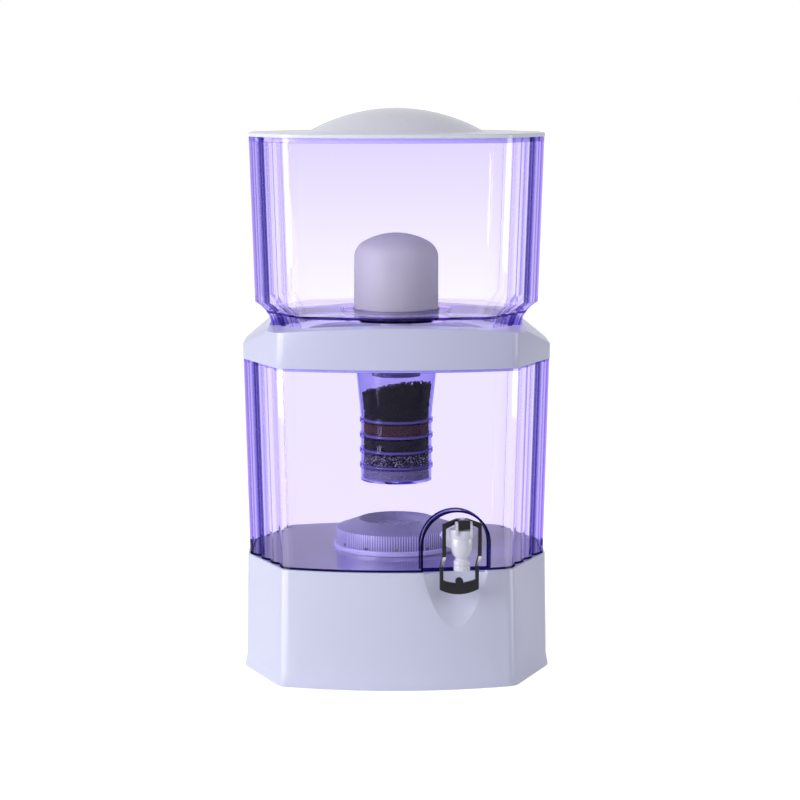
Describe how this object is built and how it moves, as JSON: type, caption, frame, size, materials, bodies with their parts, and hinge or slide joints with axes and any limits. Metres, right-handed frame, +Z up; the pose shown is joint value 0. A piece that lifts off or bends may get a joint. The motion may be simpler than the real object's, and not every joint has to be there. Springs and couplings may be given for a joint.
{
  "type": "gravity water filter",
  "caption": "Countertop gravity water filter: clear upper and lower tanks, ceramic dome, media cartridge, mineral case, collar, lid, stand and a push-lever tap.",
  "frame": {"origin": "on the surface it stands on, under the centre of the tanks", "axes": "+Z up, -Y to the front with the tap, +X to the viewer's right"},
  "size_m": [0.3308, 0.3373, 0.6018],
  "materials": {
    "white_plastic": "gloss",
    "violet_clear": "clear tinted, polished",
    "clear_plastic": "clear, polished",
    "ceramic": "matt, fine grain",
    "dark_plastic": "matt",
    "silicone": "soft",
    "felt": "felted",
    "carbon": "granules",
    "brown_balls": "small balls",
    "black_balls": "small balls",
    "grey_sand": "speckled grains",
    "silica_sand": "fine grains",
    "case_plastic": "satin",
    "mineral_stone": "pebbles",
    "tap_white": "gloss",
    "black_plastic": "gloss",
    "bright_trim": "polished",
    "steel": "plain"
  },
  "bodies": {
    "stand": {"base_stand": "white_plastic", "lower_tank": "violet_clear", "tap_body": "tap_white", "tap_outer_washer": "silicone", "tap_inner_washer": "silicone", "tap_lock_nut": "tap_white", "tap_bonnet": "tap_white", "pivot_pin": "steel", "valve_spring": "steel"},
    "collar": {"collar": "white_plastic"},
    "upper_tank": {"upper_tank": "violet_clear", "dome_washer": "silicone", "ceramic_base_cap": "dark_plastic", "ceramic_dome": "ceramic", "dome_lock_nut": "white_plastic"},
    "lid": {"lid": "white_plastic"},
    "cartridge": {"cartridge_cup": "clear_plastic", "cartridge_cap": "dark_plastic", "inlet_strainer": "dark_plastic", "carbon_bed": "carbon", "brown_ball_bed": "brown_balls", "black_ball_bed": "black_balls", "grey_sand_bed": "grey_sand", "silica_bed": "silica_sand", "filter_pad_1": "felt", "filter_pad_2": "felt", "filter_pad_3": "felt", "filter_pad_4": "felt", "filter_pad_5": "felt"},
    "mineral_case": {"mineral_case_base": "case_plastic", "mineral_case_cover": "case_plastic", "mineral_stones": "mineral_stone"},
    "lever": {"tap_lever": "black_plastic", "lever_trim": "bright_trim", "link_pin": "steel"},
    "valve": {"valve_stem": "tap_white", "valve_seal": "silicone"}
  },
  "joints": [
    {"name": "collar_lift", "type": "slide", "parent": "stand", "child": "collar", "axis": [0, 0, 1], "range_m": [0, 0.06]},
    {"name": "upper_tank_lift", "type": "slide", "parent": "collar", "child": "upper_tank", "axis": [0, 0, 1], "range_m": [0, 0.19]},
    {"name": "lid_lift", "type": "slide", "parent": "upper_tank", "child": "lid", "axis": [0, 0, 1], "range_m": [0, 0.1]},
    {"name": "cartridge_turn", "type": "hinge", "parent": "upper_tank", "child": "cartridge", "pos_m": [0, 0, 0.3], "axis": [0, 0, 1], "range_deg": [0, 360]},
    {"name": "mineral_case_lift", "type": "slide", "parent": "stand", "child": "mineral_case", "axis": [0, 0, 1], "range_m": [0, 0.03]},
    {"name": "lever_push", "type": "hinge", "parent": "stand", "child": "lever", "pos_m": [0.06668, -0.18133, 0.1815], "axis": [0.9903, 0.1392, 0], "range_deg": [0, 15], "stiffness_Nm_per_rad": 0.8, "springref_deg": -17.19},
    {"name": "valve_lift", "type": "slide", "parent": "stand", "child": "valve", "axis": [0, 0, 1], "range_m": [0, 0.0027], "deforming": ["valve_spring"]}
  ],
  "couplings": [
    {"joint": "valve_lift", "follows": "lever_push", "m_per_rad": 0.01}
  ]
}
